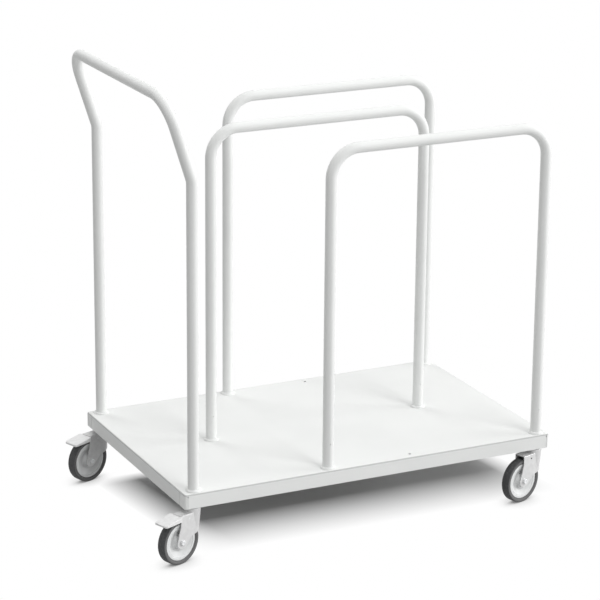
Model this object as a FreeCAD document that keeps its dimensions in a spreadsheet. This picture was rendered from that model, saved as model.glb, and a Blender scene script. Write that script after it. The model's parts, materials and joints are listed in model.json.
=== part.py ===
"""Carton trolley: a folded deck on four swivel casters, with a push handle and three hoops.

X runs along the deck, with the push handle at -X. Y runs across it, with the front at -Y.
Z is up, and the origin is on the floor under the middle of the whole trolley, where the pedals
of the brakes reach out past the deck. Sizes are in millimetres.
"""
import FreeCAD, Part
import math
import os

import Sketcher

DRIVING_SIZES = {
    "deck_length": 1110.0,
    "deck_width": 706.0,
    "rim_height": 40.0,
    "sheet_gauge": 2.0,
    "bend_radius": 4.0,
    "corner_round": 7.0,
    "corner_tab": 36.0,
    "seam_gap": 2.0,
    "relief_hole": 3.6,
    "corner_slit": 1.0,
    "channel_width": 70.0,
    "channel_depth": 30.0,
    "tube_diameter": 30.0,
    "tube_wall": 2.0,
    "side_inset": 25.5,
    "hoop_span": 650.0,
    "hoop_height": 896.0,
    "hoop_bend": 79.0,
    "hoop_inset": 30.0,
    "middle_hoop_shift": 2.0,
    "vent_hole": 2.6,
    "vent_height": 72.0,
    "handle_inset": 35.0,
    "handle_bend_height": 841.0,
    "handle_lean": 17.8,
    "handle_slant": 228.0,
    "handle_bend": 50.0,
    "handle_corner": 80.0,
    "collar_band": 5.5,
    "collar_height": 6.0,
    "plug_length": 28.0,
    "foot_bolt": 8.0,
    "foot_bolt_flats": 13.0,
    "foot_bolt_head": 5.3,
    "foot_bolt_grip": 20.0,
    "foot_bolt_play": 0.5,
    "washer_diameter": 18.0,
    "washer_gauge": 1.6,
    "spare_hole": 9.0,
    "corner_plate_length": 110.0,
    "corner_plate_width": 84.0,
    "corner_plate_gauge": 4.0,
    "corner_plate_bevel": 40.0,
    "caster_end_inset": 33.0,
    "caster_side_inset": 25.5,
    "caster_headroom": 25.0,
    "handle_end_angle": 20.0,
    "far_end_angle": 17.0,
    "wheel_lead": 9.5,
    "wheel_diameter": 125.0,
    "tyre_width": 26.0,
    "tyre_side_gap": 1.5,
    "tyre_depth": 12.0,
    "tread_round": 3.0,
    "sidewall_height": 6.5,
    "sidewall_round": 2.0,
    "rim_width": 20.0,
    "rim_bead": 5.5,
    "rim_slope": 19.0,
    "web_gauge": 8.0,
    "web_root_gauge": 9.0,
    "hub_diameter": 27.0,
    "hub_slope": 7.0,
    "axle_bolt": 8.0,
    "axle_flats": 13.0,
    "axle_head": 5.3,
    "axle_nut_height": 6.8,
    "axle_end": 1.5,
    "axle_hole_play": 0.2,
    "sleeve_wall": 4.0,
    "running_play": 0.05,
    "side_play": 0.3,
    "fork_wall": 2.5,
    "fork_head_diameter": 44.0,
    "fork_head_round": 2.5,
    "fork_crown": 3.0,
    "fork_roof_drop": 13.0,
    "fork_roof_length": 57.0,
    "fork_leg_height": 46.0,
    "fork_leg_end": 17.0,
    "fork_leg_tilt": 20.0,
    "fork_shoulder_round": 2.0,
    "hood_front_rise": 31.0,
    "hood_middle_rise": 6.0,
    "hood_edge_angle": 45.0,
    "king_bolt": 12.0,
    "king_flats": 18.0,
    "king_head": 7.5,
    "king_nut_height": 10.8,
    "king_end": 2.0,
    "king_hole_play": 0.25,
    "upper_race_gauge": 2.5,
    "upper_race_diameter": 38.0,
    "swivel_gap": 0.5,
    "ball_diameter": 4.0,
    "ball_circle": 22.0,
    "ball_count": 12,
    "lower_race_gauge": 4.0,
    "lower_race_diameter": 30.0,
    "pivot_pin": 5.0,
    "pivot_set_back": 27.0,
    "pivot_drop": 25.5,
    "pivot_eye": 8.0,
    "pedal_width": 48.0,
    "pedal_gap": 0.8,
    "pedal_length": 58.5,
    "pedal_gauge": 2.5,
    "pedal_start_drop": 13.0,
    "pedal_tip_drop": 23.0,
    "pedal_skirt": 12.0,
    "pedal_lip": 5.0,
    "pedal_inner_round": 4.0,
    "pedal_inner_wall": 8.0,
    "pedal_tip_round": 7.0,
    "pedal_brow": 1.8,
    "pedal_press": 6.0,
    "pedal_tyre_room": 32.0,
    "tongue_side_play": 0.6,
    "shoe_length": 12.0,
    "shoe_width": 20.0,
    "shoe_gap": 0.8,
}

doc = FreeCAD.newDocument("carton_trolley")
sheet = doc.addObject("Spreadsheet::Sheet", "Sheet")
for row, (alias, value) in enumerate(DRIVING_SIZES.items(), start=1):
    sheet.set("A%d" % row, alias)
    sheet.set("B%d" % row, str(value))
    sheet.setAlias("B%d" % row, alias)
doc.recompute()

NODES = []

# Levels and places worked out from the driving sizes, as expressions on the sheet.
# The pedals reach out past one corner of the deck, so the deck's middle is off the origin by half of that.
CASTER_X = "(Sheet.deck_length / 2 - Sheet.caster_end_inset)"
CASTER_Y = "(Sheet.deck_width / 2 - Sheet.caster_side_inset)"
PEDAL_START = "(Sheet.fork_roof_length + Sheet.pedal_gap)"
PEDAL_REACH = "(%s + Sheet.pedal_length)" % PEDAL_START
PEDAL_CORNER_X = ("(%s + %s * cos(Sheet.handle_end_angle)"
                  " + Sheet.pedal_width / 2 * sin(Sheet.handle_end_angle))" % (CASTER_X, PEDAL_REACH))
PEDAL_CORNER_Y = ("(%s + %s * sin(Sheet.handle_end_angle)"
                  " + Sheet.pedal_width / 2 * cos(Sheet.handle_end_angle))" % (CASTER_Y, PEDAL_REACH))
DECK_X = "((%s - Sheet.deck_length / 2) / 2)" % PEDAL_CORNER_X
DECK_Y = "((%s - Sheet.deck_width / 2) / 2)" % PEDAL_CORNER_Y
RIM_BOTTOM = "(Sheet.wheel_diameter + Sheet.caster_headroom)"
DECK_TOP = "(%s + Sheet.rim_height)" % RIM_BOTTOM
DECK_UNDERSIDE = "(%s - Sheet.sheet_gauge)" % DECK_TOP
INNER_LENGTH = "(Sheet.deck_length - 2 * Sheet.sheet_gauge)"
INNER_WIDTH = "(Sheet.deck_width - 2 * Sheet.sheet_gauge)"
CHANNEL_TOP = "(%s - Sheet.sheet_gauge)" % DECK_UNDERSIDE
SIDE_ROW = "(Sheet.deck_width / 2 - Sheet.side_inset)"
HANDLE_X = "(Sheet.handle_inset - Sheet.deck_length / 2)"
TUBE_RADIUS = "(Sheet.tube_diameter / 2)"
TUBE_BORE = "(Sheet.tube_diameter / 2 - Sheet.tube_wall)"
BOLT_CLEAR = "(Sheet.foot_bolt / 2 + Sheet.foot_bolt_play)"
SIDE_HOOP_FAR = "(Sheet.deck_length / 2 - Sheet.hoop_inset)"
SIDE_HOOP_NEAR = "(%s - Sheet.hoop_span)" % SIDE_HOOP_FAR
SIDE_HOOP_X = "(%s - Sheet.hoop_span / 2)" % SIDE_HOOP_FAR
MIDDLE_HOOP_NEAR = "(Sheet.middle_hoop_shift - Sheet.hoop_span / 2)"
MIDDLE_HOOP_FAR = "(Sheet.middle_hoop_shift + Sheet.hoop_span / 2)"
AXLE_HEIGHT = "(Sheet.wheel_diameter / 2)"
TRAIL = "(Sheet.wheel_diameter / 2 - Sheet.wheel_lead)"
RIM_RADIUS = "(Sheet.wheel_diameter / 2 - Sheet.tyre_depth)"
SLEEVE_RADIUS = "(Sheet.axle_bolt / 2 + Sheet.sleeve_wall)"
FORK_GAP = "(Sheet.tyre_width + 2 * Sheet.tyre_side_gap)"
FORK_WIDTH = "(%s + 2 * Sheet.fork_wall)" % FORK_GAP
CROWN_TOP = "(%s - Sheet.upper_race_gauge - Sheet.swivel_gap)" % RIM_BOTTOM
CROWN_UNDERSIDE = "(%s - Sheet.fork_crown)" % CROWN_TOP
ROOF_TOP = "(%s - Sheet.fork_roof_drop)" % RIM_BOTTOM
ROOF_UNDERSIDE = "(%s - Sheet.fork_wall)" % ROOF_TOP
LOWER_RACE_TOP = "(%s - Sheet.swivel_gap - Sheet.ball_diameter)" % CROWN_UNDERSIDE
KING_HEAD_TOP = "(%s - Sheet.lower_race_gauge)" % LOWER_RACE_TOP
PIVOT_HEIGHT = "(%s - Sheet.pivot_drop)" % RIM_BOTTOM
PEDAL_START_TOP = "(%s - Sheet.pedal_start_drop)" % RIM_BOTTOM
PEDAL_TIP_TOP = "(%s - Sheet.pedal_tip_drop)" % RIM_BOTTOM

# How far a cut runs out past the material on its open side.
OVERCUT = "1"

# Each tube foot: its place on the deck and the level of the sheet that its bolt head draws against.
SIDE_FEET = [(x, "(%s * %s)" % (side, SIDE_ROW), DECK_UNDERSIDE)
             for x in (HANDLE_X, SIDE_HOOP_NEAR, SIDE_HOOP_FAR) for side in ("-1", "1")]
MIDDLE_FEET = [(x, "0", CHANNEL_TOP) for x in (MIDDLE_HOOP_NEAR, MIDDLE_HOOP_FAR)]
FEET = SIDE_FEET + MIDDLE_FEET
SPARE_HOLES = [("(-1 * %s)" % SIDE_HOOP_NEAR, "(%s * %s)" % (side, SIDE_ROW)) for side in ("-1", "1")]

# Each caster: its name, its corner of the deck and whether it has a brake.
CASTERS = [("front_left", -1, -1, True), ("back_left", -1, 1, True),
           ("front_right", 1, -1, False), ("back_right", 1, 1, False)]


def number(expression):
    """The present value of an expression on the sheet."""
    return float(sheet.evalExpression(str(expression)))


def bind(target, **sizes):
    """Ties properties of an object to expressions on the sheet."""
    for name, expression in sizes.items():
        target.setExpression(name.replace("__", "."), str(expression))


def place(target, x="0", y="0", z="0", turn="0", axis=(0, 0, 1)):
    """Ties an object's place to the sheet, with a turn in degrees about one axis."""
    rotation = FreeCAD.Rotation(FreeCAD.Vector(*axis), number(turn))
    target.Placement = FreeCAD.Placement(FreeCAD.Vector(number(x), number(y), number(z)), rotation)
    bind(target, Placement__Base__x=x, Placement__Base__y=y, Placement__Base__z=z)
    if turn != "0":
        bind(target, Placement__Rotation__Angle=turn)
    return target


def place_on_deck(target, x="0", y="0", z="0", turn="0"):
    """Places a sub-part by its distance from the upright line through the middle of the deck."""
    return place(target, "%s + (%s)" % (DECK_X, x), "%s + (%s)" % (DECK_Y, y), z, turn)


def node(target, label):
    """Names a finished sub-part."""
    target.Label = label
    NODES.append(target)
    return target


def new_body(label):
    """An empty body that becomes a sub-part."""
    return node(doc.addObject("PartDesign::Body", label), label)


def new_sketch(body, plane, lift="0"):
    """A sketch on one of the body's own origin planes, lifted along the plane's normal."""
    sketch = body.newObject("Sketcher::SketchObject", "sketch")
    support = [feature for feature in body.Origin.OriginFeatures if feature.Role == plane][0]
    sketch.AttachmentSupport = [(support, "")]
    sketch.MapMode = "FlatFace"
    if lift != "0":
        bind(sketch, AttachmentOffset__Base__z=lift)
    return sketch


def fix_point(sketch, geometry, end, x, y):
    """Holds a point of the sketch at coordinates given as expressions."""
    for kind, expression in (("DistanceX", x), ("DistanceY", y)):
        index = sketch.addConstraint(Sketcher.Constraint(kind, -1, 1, geometry, end, number(expression)))
        label = "%s_%d_%d" % (kind, geometry, end)
        sketch.renameConstraint(index, label)
        sketch.setExpression("Constraints." + label, str(expression))


def draw_polygon(sketch, corners):
    """A closed outline of straight lines through corners given as expressions."""
    points = [FreeCAD.Vector(number(x), number(y), 0) for x, y in corners]
    first = sketch.GeometryCount
    count = len(points)
    for index in range(count):
        sketch.addGeometry(Part.LineSegment(points[index], points[(index + 1) % count]), False)
    for index in range(count):
        following = first + (index + 1) % count
        sketch.addConstraint(Sketcher.Constraint("Coincident", first + index, 2, following, 1))
    for index, (x, y) in enumerate(corners):
        fix_point(sketch, first + index, 1, x, y)


def draw_rectangle(sketch, low, high):
    """A rectangle between two opposite corners."""
    draw_polygon(sketch, [low, (high[0], low[1]), high, (low[0], high[1])])


def draw_circle(sketch, x, y, radius):
    """A circle with its centre and radius given as expressions."""
    centre = FreeCAD.Vector(number(x), number(y), 0)
    up = FreeCAD.Vector(0, 0, 1)
    index = sketch.addGeometry(Part.Circle(centre, up, number(radius)), False)
    fix_point(sketch, index, 3, x, y)
    constraint = sketch.addConstraint(Sketcher.Constraint("Radius", index, number(radius)))
    label = "Radius_%d" % index
    sketch.renameConstraint(constraint, label)
    sketch.setExpression("Constraints." + label, str(radius))


def check_change(body, before, adds):
    """Stops if the body's last feature has neither added nor taken away material as it should."""
    change = body.Shape.Volume - before
    if change == 0 or (change > 0) != adds:
        raise RuntimeError("%s on %s changed nothing" % (body.Tip.Label, body.Label))


def extrude(body, kind, sketch, length, symmetric=False, reverse=False):
    """A pad or a pocket of the sketch, which has to add or take away material."""
    before = body.Shape.Volume if body.Tip else 0.0
    feature = body.newObject("PartDesign::" + kind, kind.lower())
    feature.Profile = sketch
    feature.SideType = "Symmetric" if symmetric else "One side"
    feature.Reversed = reverse
    bind(feature, Length=length)
    body.Tip = feature
    doc.recompute()
    check_change(body, before, kind == "Pad")
    return feature


def revolve(body, kind, sketch, axis):
    """A full turn of the sketch about one of the body's own axes, which adds or takes away material."""
    before = body.Shape.Volume if body.Tip else 0.0
    feature = body.newObject("PartDesign::" + kind, kind.lower())
    feature.Profile = sketch
    line = [entry for entry in body.Origin.OriginFeatures if entry.Role == axis][0]
    feature.ReferenceAxis = (line, [""])
    feature.Angle = 360
    body.Tip = feature
    doc.recompute()
    check_change(body, before, kind == "Revolution")
    return feature


def round_edges(body, radius, chosen):
    """Rounds the edges of the body for which chosen(edge) is true."""
    base = body.Tip
    names = ["Edge%d" % index for index, edge in enumerate(base.Shape.Edges, start=1) if chosen(edge)]
    if not names:
        raise RuntimeError("no edges to round on " + body.Label)
    feature = body.newObject("PartDesign::Fillet", "fillet")
    feature.Base = (base, names)
    bind(feature, Radius=radius)
    body.Tip = feature
    doc.recompute()
    return feature


def level(edge, height):
    """Whether an edge lies flat at this height of its body."""
    return all(abs(vertex.Z - height) < 1e-4 for vertex in edge.Vertexes) and abs(
        edge.BoundBox.ZLength) < 1e-4


def group(parts, label):
    """Identical separate pieces that share one node."""
    compound = doc.addObject("Part::Compound", label)
    compound.Links = parts
    return node(compound, label)


def new_cylinder(radius, height):
    """A plain cylinder standing on the origin."""
    cylinder = doc.addObject("Part::Cylinder", "cylinder")
    bind(cylinder, Radius=radius, Height=height)
    return cylinder


def new_hexagon(flats, height):
    """A hexagonal prism standing on the origin, given the distance across its flats."""
    prism = doc.addObject("Part::Prism", "hexagon")
    prism.Polygon = 6
    bind(prism, Circumradius="(%s) / 2 / cos(30)" % flats, Height=height)
    return prism


def new_ring(outer, inner, height):
    """A flat ring standing on the origin."""
    ring = doc.addObject("Part::Cut", "ring")
    ring.Base = new_cylinder(outer, height)
    ring.Tool = new_cylinder(inner, height)
    return ring


def new_bolt(shank, length, flats, head):
    """A hexagon bolt whose head stands below the origin and whose shank rises from it."""
    bolt = doc.addObject("Part::Fuse", "bolt")
    bolt.Base = place(new_hexagon(flats, head), z="-1 * (%s)" % head)
    bolt.Tool = new_cylinder("(%s) / 2" % shank, length)
    return bolt


def new_nut(flats, thread, height):
    """A hexagon nut standing on the origin."""
    nut = doc.addObject("Part::Cut", "nut")
    nut.Base = new_hexagon(flats, height)
    nut.Tool = new_cylinder("(%s) / 2" % thread, height)
    return nut


def make_deck_tray():
    """The deck: one folded sheet, rounded along its folds and open underneath."""
    body = new_body("deck_tray")
    outline = new_sketch(body, "XY_Plane", RIM_BOTTOM)
    draw_rectangle(outline, ("-Sheet.deck_length / 2", "-Sheet.deck_width / 2"),
                   ("Sheet.deck_length / 2", "Sheet.deck_width / 2"))
    extrude(body, "Pad", outline, "Sheet.rim_height")
    hollow = new_sketch(body, "XY_Plane", RIM_BOTTOM)
    draw_rectangle(hollow, ("-%s / 2" % INNER_LENGTH, "-%s / 2" % INNER_WIDTH),
                   ("%s / 2" % INNER_LENGTH, "%s / 2" % INNER_WIDTH))
    extrude(body, "Pocket", hollow, "Sheet.rim_height - Sheet.sheet_gauge", reverse=True)

    def upright_corner(length, width):
        half_length = number(length) / 2
        half_width = number(width) / 2

        def chosen(edge):
            middle = edge.BoundBox.Center
            at_corner = abs(abs(middle.x) - half_length) < 1e-3 and abs(abs(middle.y) - half_width) < 1e-3
            return at_corner and edge.BoundBox.ZLength > 1
        return chosen

    # The inside of each fold follows the outside at one sheet gauge.
    top = number(DECK_TOP)
    underside = number(DECK_UNDERSIDE)
    round_edges(body, "Sheet.corner_round - Sheet.sheet_gauge", upright_corner(INNER_LENGTH, INNER_WIDTH))
    round_edges(body, "Sheet.corner_round", upright_corner("Sheet.deck_length", "Sheet.deck_width"))
    round_edges(body, "Sheet.bend_radius - Sheet.sheet_gauge", lambda edge: level(edge, underside))
    round_edges(body, "Sheet.bend_radius", lambda edge: level(edge, top))
    seams = new_sketch(body, "YZ_Plane")
    for side in ("-1", "1"):
        middle = "%s * (Sheet.deck_width / 2 - Sheet.corner_tab)" % side
        draw_rectangle(seams, ("%s - Sheet.seam_gap / 2" % middle, "%s - %s" % (RIM_BOTTOM, OVERCUT)),
                       ("%s + Sheet.seam_gap / 2" % middle, "%s - Sheet.bend_radius" % DECK_TOP))
    extrude(body, "Pocket", seams, "Sheet.deck_length + 2 * %s" % OVERCUT, symmetric=True)
    # On the long sides a slit beside each corner ends at a small round relief under the fold.
    reliefs = new_sketch(body, "XZ_Plane")
    slits = new_sketch(body, "XZ_Plane")
    relief_height = "%s - Sheet.bend_radius - Sheet.relief_hole / 2" % DECK_TOP
    for side in ("-1", "1"):
        middle = "%s * (Sheet.deck_length / 2 - Sheet.corner_round - Sheet.relief_hole / 2)" % side
        draw_circle(reliefs, middle, relief_height, "Sheet.relief_hole / 2")
        draw_rectangle(slits, ("%s - Sheet.corner_slit / 2" % middle, "%s - %s" % (RIM_BOTTOM, OVERCUT)),
                       ("%s + Sheet.corner_slit / 2" % middle, relief_height))
    for cut in (reliefs, slits):
        extrude(body, "Pocket", cut, "Sheet.deck_width + 2 * %s" % OVERCUT, symmetric=True)
    holes = new_sketch(body, "XY_Plane", DECK_UNDERSIDE)
    for x, y, _ in FEET:
        draw_circle(holes, x, y, BOLT_CLEAR)
    for x, y in SPARE_HOLES:
        draw_circle(holes, x, y, "Sheet.spare_hole / 2")
    extrude(body, "Pocket", holes, "2 * Sheet.sheet_gauge", reverse=True)
    place_on_deck(body)


def make_centre_channel():
    """The channel along the middle of the deck's underside, open downwards."""
    body = new_body("centre_channel")
    profile = new_sketch(body, "YZ_Plane")
    half = "Sheet.channel_width / 2"
    low = "%s - Sheet.channel_depth" % DECK_UNDERSIDE
    draw_polygon(profile, [
        ("-%s" % half, low), ("-%s" % half, DECK_UNDERSIDE), (half, DECK_UNDERSIDE), (half, low),
        ("%s - Sheet.sheet_gauge" % half, low), ("%s - Sheet.sheet_gauge" % half, CHANNEL_TOP),
        ("Sheet.sheet_gauge - %s" % half, CHANNEL_TOP), ("Sheet.sheet_gauge - %s" % half, low)])
    extrude(body, "Pad", profile, "Sheet.deck_length - 2 * Sheet.bend_radius", symmetric=True)
    holes = new_sketch(body, "XY_Plane", "%s - Sheet.sheet_gauge" % CHANNEL_TOP)
    for x, y, _ in MIDDLE_FEET:
        draw_circle(holes, x, y, BOLT_CLEAR)
    extrude(body, "Pocket", holes, "3 * Sheet.sheet_gauge", reverse=True)
    place_on_deck(body)


def make_corner_plate(name, end, side):
    """The plate across one corner of the rim, which carries a caster."""
    body = new_body(name + "_corner_plate")
    outline = new_sketch(body, "XY_Plane", RIM_BOTTOM)
    outer_x = "%d * %s / 2" % (end, INNER_LENGTH)
    outer_y = "%d * %s / 2" % (side, INNER_WIDTH)
    inner_x = "%s - %d * Sheet.corner_plate_length" % (outer_x, end)
    inner_y = "%s - %d * Sheet.corner_plate_width" % (outer_y, side)
    bevel_x = "%s + %d * Sheet.corner_plate_bevel" % (inner_x, end)
    bevel_y = "%s + %d * Sheet.corner_plate_bevel" % (inner_y, side)
    corner_x = "%s - %d * Sheet.corner_round" % (outer_x, end)
    corner_y = "%s - %d * Sheet.corner_round" % (outer_y, side)
    draw_polygon(outline, [(corner_x, outer_y), (inner_x, outer_y), (inner_x, bevel_y), (bevel_x, inner_y),
                           (outer_x, inner_y), (outer_x, corner_y)])
    extrude(body, "Pad", outline, "Sheet.corner_plate_gauge")
    hole = new_sketch(body, "XY_Plane", RIM_BOTTOM)
    draw_circle(hole, "%d * %s" % (end, CASTER_X), "%d * %s" % (side, CASTER_Y),
                "Sheet.king_bolt / 2 + Sheet.king_hole_play")
    extrude(body, "Pocket", hole, "Sheet.corner_plate_gauge", reverse=True)
    place_on_deck(body)


def make_hoop(label, x, y, turn):
    """An inverted U of round tube, with a small vent hole low on each leg."""
    body = new_body(label)
    half = "Sheet.hoop_span / 2"
    bar = "Sheet.hoop_height - %s" % TUBE_RADIUS
    profile = new_sketch(body, "XY_Plane")
    draw_circle(profile, "-%s" % half, "0", TUBE_RADIUS)
    draw_circle(profile, "-%s" % half, "0", TUBE_BORE)

    spine = new_sketch(body, "XZ_Plane")
    reach, rise, bend = number(half), number(bar), number("Sheet.hoop_bend")
    points = [(-reach, 0), (-reach, rise - bend), (bend - reach, rise),
              (reach - bend, rise), (reach, rise - bend), (reach, 0)]
    points = [FreeCAD.Vector(px, pz, 0) for px, pz in points]
    up = FreeCAD.Vector(0, 0, 1)
    near_arc = Part.Circle(FreeCAD.Vector(bend - reach, rise - bend, 0), up, bend)
    far_arc = Part.Circle(FreeCAD.Vector(reach - bend, rise - bend, 0), up, bend)
    spine.addGeometry(Part.LineSegment(points[0], points[1]), False)
    spine.addGeometry(Part.ArcOfCircle(near_arc, math.pi / 2, math.pi), False)
    spine.addGeometry(Part.LineSegment(points[2], points[3]), False)
    spine.addGeometry(Part.ArcOfCircle(far_arc, 0, math.pi / 2), False)
    spine.addGeometry(Part.LineSegment(points[4], points[5]), False)
    for first, first_end, second, second_end in ((0, 2, 1, 2), (1, 1, 2, 1), (2, 2, 3, 2), (3, 1, 4, 1)):
        spine.addConstraint(Sketcher.Constraint("Tangent", first, first_end, second, second_end))
    for line, kind in ((0, "Vertical"), (2, "Horizontal"), (4, "Vertical")):
        spine.addConstraint(Sketcher.Constraint(kind, line))
    for label_of_radius, arc in (("near_bend", 1), ("far_bend", 3)):
        index = spine.addConstraint(Sketcher.Constraint("Radius", arc, bend))
        spine.renameConstraint(index, label_of_radius)
        spine.setExpression("Constraints." + label_of_radius, "Sheet.hoop_bend")
    fix_point(spine, 0, 1, "-%s" % half, "0")
    fix_point(spine, 4, 2, half, "0")
    index = spine.addConstraint(Sketcher.Constraint("DistanceY", -1, 1, 2, 1, rise))
    spine.renameConstraint(index, "bar_height")
    spine.setExpression("Constraints.bar_height", bar)

    tube = body.newObject("PartDesign::AdditivePipe", "tube")
    tube.Profile = profile
    tube.Spine = (spine, ["Edge%d" % edge for edge in range(1, 6)])
    body.Tip = tube
    doc.recompute()
    vents = new_sketch(body, "XZ_Plane")
    for leg in ("-%s" % half, half):
        draw_circle(vents, leg, "Sheet.vent_height", "Sheet.vent_hole / 2")
    extrude(body, "Pocket", vents, "Sheet.tube_diameter", reverse=True)
    place_on_deck(body, x, y, DECK_TOP, turn)


def bent_path(corners, radii):
    """A wire of straight runs joined by tangent arcs at its inner corners."""
    corners = [FreeCAD.Vector(*corner) for corner in corners]
    edges = []
    start = corners[0]
    for before, corner, after, radius in zip(corners, corners[1:], corners[2:], radii):
        back = (before - corner).normalize()
        ahead = (after - corner).normalize()
        half_angle = back.getAngle(ahead) / 2
        run = radius / math.tan(half_angle)
        bisector = (back + ahead).normalize()
        middle = corner + bisector * (radius / math.sin(half_angle) - radius)
        arc_start = corner + back * run
        arc_end = corner + ahead * run
        edges.append(Part.LineSegment(start, arc_start).toShape())
        edges.append(Part.Arc(arc_start, middle, arc_end).toShape())
        start = arc_end
    edges.append(Part.LineSegment(start, corners[-1]).toShape())
    return Part.Wire(edges)


def make_push_handle():
    """The push handle: a tube up one end of the deck, leaning outwards above its lower bends."""
    foot_x = number(HANDLE_X)
    foot_z = number(DECK_TOP)
    row = number(SIDE_ROW)
    bend_z = foot_z + number("Sheet.handle_bend_height")
    lean = math.radians(number("Sheet.handle_lean"))
    slant = number("Sheet.handle_slant")
    top_x = foot_x - slant * math.sin(lean)
    top_z = bend_z + slant * math.cos(lean)
    bend, corner = number("Sheet.handle_bend"), number("Sheet.handle_corner")
    path = doc.addObject("Part::Feature", "handle_path")
    path.Shape = bent_path([(foot_x, row, foot_z), (foot_x, row, bend_z), (top_x, row, top_z),
                            (top_x, -row, top_z), (foot_x, -row, bend_z), (foot_x, -row, foot_z)],
                           [bend, corner, corner, bend])
    runs = ["Edge%d" % edge for edge in range(1, len(path.Shape.Edges) + 1)]
    sweeps = []
    for radius in (TUBE_RADIUS, TUBE_BORE):
        circle = doc.addObject("Part::Circle", "handle_section")
        bind(circle, Radius=radius)
        place(circle, HANDLE_X, SIDE_ROW, DECK_TOP)
        sweep = doc.addObject("Part::Sweep", "handle_sweep")
        sweep.Sections = [circle]
        sweep.Spine = (path, runs)
        sweep.Solid = True
        sweeps.append(sweep)
    tube = doc.addObject("Part::Cut", "push_handle")
    tube.Base, tube.Tool = sweeps
    place_on_deck(node(tube, "push_handle"))


def make_foot_fixings():
    """What fastens each tube foot: a collar, a threaded plug in the tube, a bolt and its washer."""
    collars, plugs, bolts, washers = [], [], [], []
    for x, y, seat in FEET:
        collar = new_ring("%s + Sheet.collar_band" % TUBE_RADIUS, TUBE_RADIUS, "Sheet.collar_height")
        bevel = doc.addObject("Part::Chamfer", "collar")
        bevel.Base = collar
        doc.recompute()
        rim = [index for index, edge in enumerate(collar.Shape.Edges, start=1)
               if level(edge, number("Sheet.collar_height"))
               and edge.Curve.Radius > number("%s + Sheet.collar_band / 2" % TUBE_RADIUS)]
        drop = number("Sheet.collar_height / 2")
        spread = number("Sheet.collar_band / 2")
        bevel.Edges = [(index, drop, spread) for index in rim]
        collars.append(place(bevel, x, y, DECK_TOP))
        plugs.append(place(new_ring(TUBE_BORE, "Sheet.foot_bolt / 2", "Sheet.plug_length"), x, y, DECK_TOP))
        bolt_seat = "%s - Sheet.washer_gauge" % seat
        length = "%s - (%s) + Sheet.foot_bolt_grip" % (DECK_TOP, bolt_seat)
        bolt = new_bolt("Sheet.foot_bolt", length, "Sheet.foot_bolt_flats", "Sheet.foot_bolt_head")
        bolts.append(place(bolt, x, y, bolt_seat))
        washer = new_ring("Sheet.washer_diameter / 2", BOLT_CLEAR, "Sheet.washer_gauge")
        washers.append(place(washer, x, y, bolt_seat))
    place_on_deck(group(collars, "foot_collars"))
    place_on_deck(group(plugs, "tube_end_plugs"))
    place_on_deck(group(bolts, "foot_bolts"))
    place_on_deck(group(washers, "foot_washers"))


def make_swivel_bearings():
    """The fixed half of each caster's swivel: king bolt and nut, two races and the balls."""
    bolts, nuts, balls = [], [], []
    ball_count = int(number("Sheet.ball_count"))
    for name, end, side, _ in CASTERS:
        x = "%d * %s" % (end, CASTER_X)
        y = "%d * %s" % (side, CASTER_Y)
        plate_top = "(%s + Sheet.corner_plate_gauge)" % RIM_BOTTOM
        length = "%s + Sheet.king_nut_height + Sheet.king_end - %s" % (plate_top, KING_HEAD_TOP)
        bolt = new_bolt("Sheet.king_bolt", length, "Sheet.king_flats", "Sheet.king_head")
        bolts.append(place(bolt, x, y, KING_HEAD_TOP))
        nut = new_nut("Sheet.king_flats", "Sheet.king_bolt", "Sheet.king_nut_height")
        nuts.append(place(nut, x, y, plate_top))
        bore = "Sheet.king_bolt / 2"
        upper = new_ring("Sheet.upper_race_diameter / 2", bore, "Sheet.upper_race_gauge")
        node(place_on_deck(upper, x, y, "%s - Sheet.upper_race_gauge" % RIM_BOTTOM), name + "_upper_race")
        lower = new_ring("Sheet.lower_race_diameter / 2", bore, "Sheet.lower_race_gauge")
        node(place_on_deck(lower, x, y, KING_HEAD_TOP), name + "_lower_race")
        for index in range(ball_count):
            ball = doc.addObject("Part::Sphere", "ball")
            bind(ball, Radius="Sheet.ball_diameter / 2")
            angle = 360.0 / ball_count * index
            place(ball, "%s + Sheet.ball_circle / 2 * cos(%g)" % (x, angle),
                  "%s + Sheet.ball_circle / 2 * sin(%g)" % (y, angle),
                  "%s + Sheet.ball_diameter / 2" % LOWER_RACE_TOP)
            balls.append(ball)
    place_on_deck(group(bolts, "king_bolts"))
    place_on_deck(group(nuts, "king_nuts"))
    place_on_deck(group(balls, "swivel_balls"))


def caster_place(target, end, side, along="0", height="0"):
    """Places a piece made in a caster's own frame: local X is the trail, local Y the axle."""
    turn = "(180 + Sheet.%s)" % ("handle_end_angle" if end < 0 else "far_end_angle")
    return place_on_deck(target, "%d * %s + (%s) * cos%s" % (end, CASTER_X, along, turn),
                         "%d * %s + (%s) * sin%s" % (side, CASTER_Y, along, turn), height, turn)


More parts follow.
